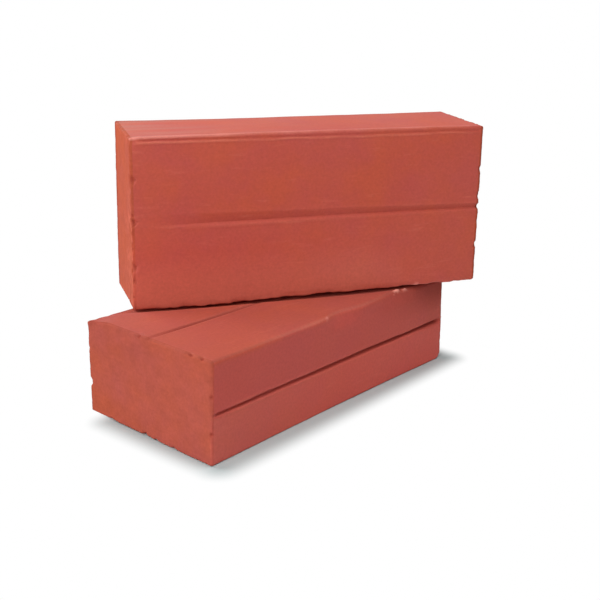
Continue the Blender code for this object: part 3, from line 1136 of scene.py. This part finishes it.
def looked_at(add, link):
    """1 where the camera looks, straight on, in gloss or through something, and 0 for other light."""
    path = add("ShaderNodeLightPath")
    seen = path.outputs["Is Camera Ray"]
    for other in ("Is Glossy Ray", "Is Transmission Ray"):
        either = add("ShaderNodeMath", operation="MAXIMUM")
        link(seen, either.inputs[0])
        link(path.outputs[other], either.inputs[1])
        seen = either.outputs["Value"]
    return seen


def studio_floor():
    """A pale floor that keeps the shadow beside the clay, is seen darker there as a painted shadow round
    the lower bar, and is seen as plain white farther out.
    """
    deselect_all()
    bpy.ops.mesh.primitive_plane_add(size=FLOOR_SIZE)
    floor = bpy.context.object
    floor.name = "floor"
    material = bpy.data.materials.new("white_floor")
    material.use_nodes = True
    add, link = node_makers(material.node_tree)
    shader = material.node_tree.nodes["Principled BSDF"]
    shader.inputs["Roughness"].default_value = 1.0
    shader.inputs["Specular IOR Level"].default_value = 0.0

    seen = looked_at(add, link)
    paint = add("ShaderNodeMix", data_type="RGBA")
    paint.inputs[6].default_value = FLOOR_THROWN_BACK
    paint.inputs[7].default_value = FLOOR_PAINTED_SHADOW
    link(seen, paint.inputs["Factor"])
    link(paint.outputs[2], shader.inputs["Base Color"])

    place = add("ShaderNodeTexCoord")
    beside = place.outputs["Object"]
    middle = (lower_low + lower_high) / 2 - Vector((0, (FLOOR_INSET + FLOOR_OUTSET) / 2, 0))
    half = (lower_high - lower_low) / 2 - Vector((0, (FLOOR_INSET - FLOOR_OUTSET) / 2, 0))
    for operation, by in (
        ("SUBTRACT", (middle.x, middle.y, 0)),
        ("ABSOLUTE", (0, 0, 0)),
        ("SUBTRACT", (half.x, half.y, 0)),
        ("MAXIMUM", (0, 0, 0)),
    ):
        step = add("ShaderNodeVectorMath", operation=operation)
        link(beside, step.inputs[0])
        step.inputs[1].default_value = by
        beside = step.outputs["Vector"]
    away = add("ShaderNodeVectorMath", operation="LENGTH")
    link(beside, away.inputs[0])
    far = add("ShaderNodeMapRange", interpolation_type="SMOOTHSTEP")
    far.inputs["From Min"].default_value = 0
    far.inputs["From Max"].default_value = FLOOR_WHITE
    link(away.outputs["Value"], far.inputs["Value"])
    far_seen = add("ShaderNodeMath", operation="MULTIPLY")
    link(far.outputs["Result"], far_seen.inputs[0])
    link(seen, far_seen.inputs[1])
    white = add("ShaderNodeEmission")
    mixed = add("ShaderNodeMixShader")
    link(far_seen.outputs["Value"], mixed.inputs["Fac"])
    link(shader.outputs["BSDF"], mixed.inputs[1])
    link(white.outputs["Emission"], mixed.inputs[2])
    link(mixed.outputs["Shader"], material.node_tree.nodes["Material Output"].inputs["Surface"])
    floor.data.materials.append(material)


def towards(azimuth, elevation):
    """The way from the clay to a camera or a lamp, by angles in radians."""
    level = math.cos(elevation)
    return Vector((math.sin(azimuth) * level, -math.cos(azimuth) * level, math.sin(elevation)))


def studio_light(name, azimuth, elevation, power):
    """A square soft box aimed at the middle of the stack."""
    light = bpy.data.lights.new(name, "AREA")
    light.shape = "SQUARE"
    light.size = LAMP_SIZE
    light.energy = power
    box = bpy.data.objects.new(name, light)
    way = towards(math.radians(azimuth), math.radians(elevation))
    box.location = way * LAMP_DISTANCE + LAMP_AIM
    box.rotation_euler = way.to_track_quat("Z", "Y").to_euler()
    bpy.context.scene.collection.objects.link(box)


def studio_world():
    """Even ambient light, seen as white by the camera and in gloss."""
    world = bpy.data.worlds.new("studio")
    world.use_nodes = True
    bpy.context.scene.world = world
    add, link = node_makers(world.node_tree)
    background = world.node_tree.nodes["Background"]
    background.inputs["Color"].default_value = (1, 1, 1, 1)
    level = add("ShaderNodeMapRange")
    level.inputs["To Min"].default_value = AMBIENT
    level.inputs["To Max"].default_value = 1.0
    link(looked_at(add, link), level.inputs["Value"])
    link(level.outputs["Result"], background.inputs["Strength"])


def photo_camera():
    """The camera where the photograph was taken from."""
    camera = bpy.data.cameras.new("camera")
    camera.sensor_fit = "HORIZONTAL"
    camera.sensor_width = SENSOR_WIDTH
    camera.lens = FOCAL_PIXELS / IMAGE_PIXELS * SENSOR_WIDTH
    camera.clip_start = CAMERA_CLIP_START
    holder = bpy.data.objects.new("camera", camera)
    back = towards(CAMERA_AZIMUTH, CAMERA_ELEVATION)
    upright = back.to_track_quat("Z", "Y").to_matrix().to_4x4()
    rolled = upright @ Matrix.Rotation(CAMERA_ROLL, 4, "Z")
    holder.matrix_world = Matrix.Translation(CAMERA_AIM + back * CAMERA_DISTANCE) @ rolled
    bpy.context.scene.collection.objects.link(holder)
    bpy.context.scene.camera = holder


lower_clay()
upper_clay()

photo_camera()
studio_floor()
studio_world()
for lamp, aim_and_power in LAMPS.items():
    studio_light(lamp, *aim_and_power)
bpy.context.scene.view_settings.view_transform = "Standard"
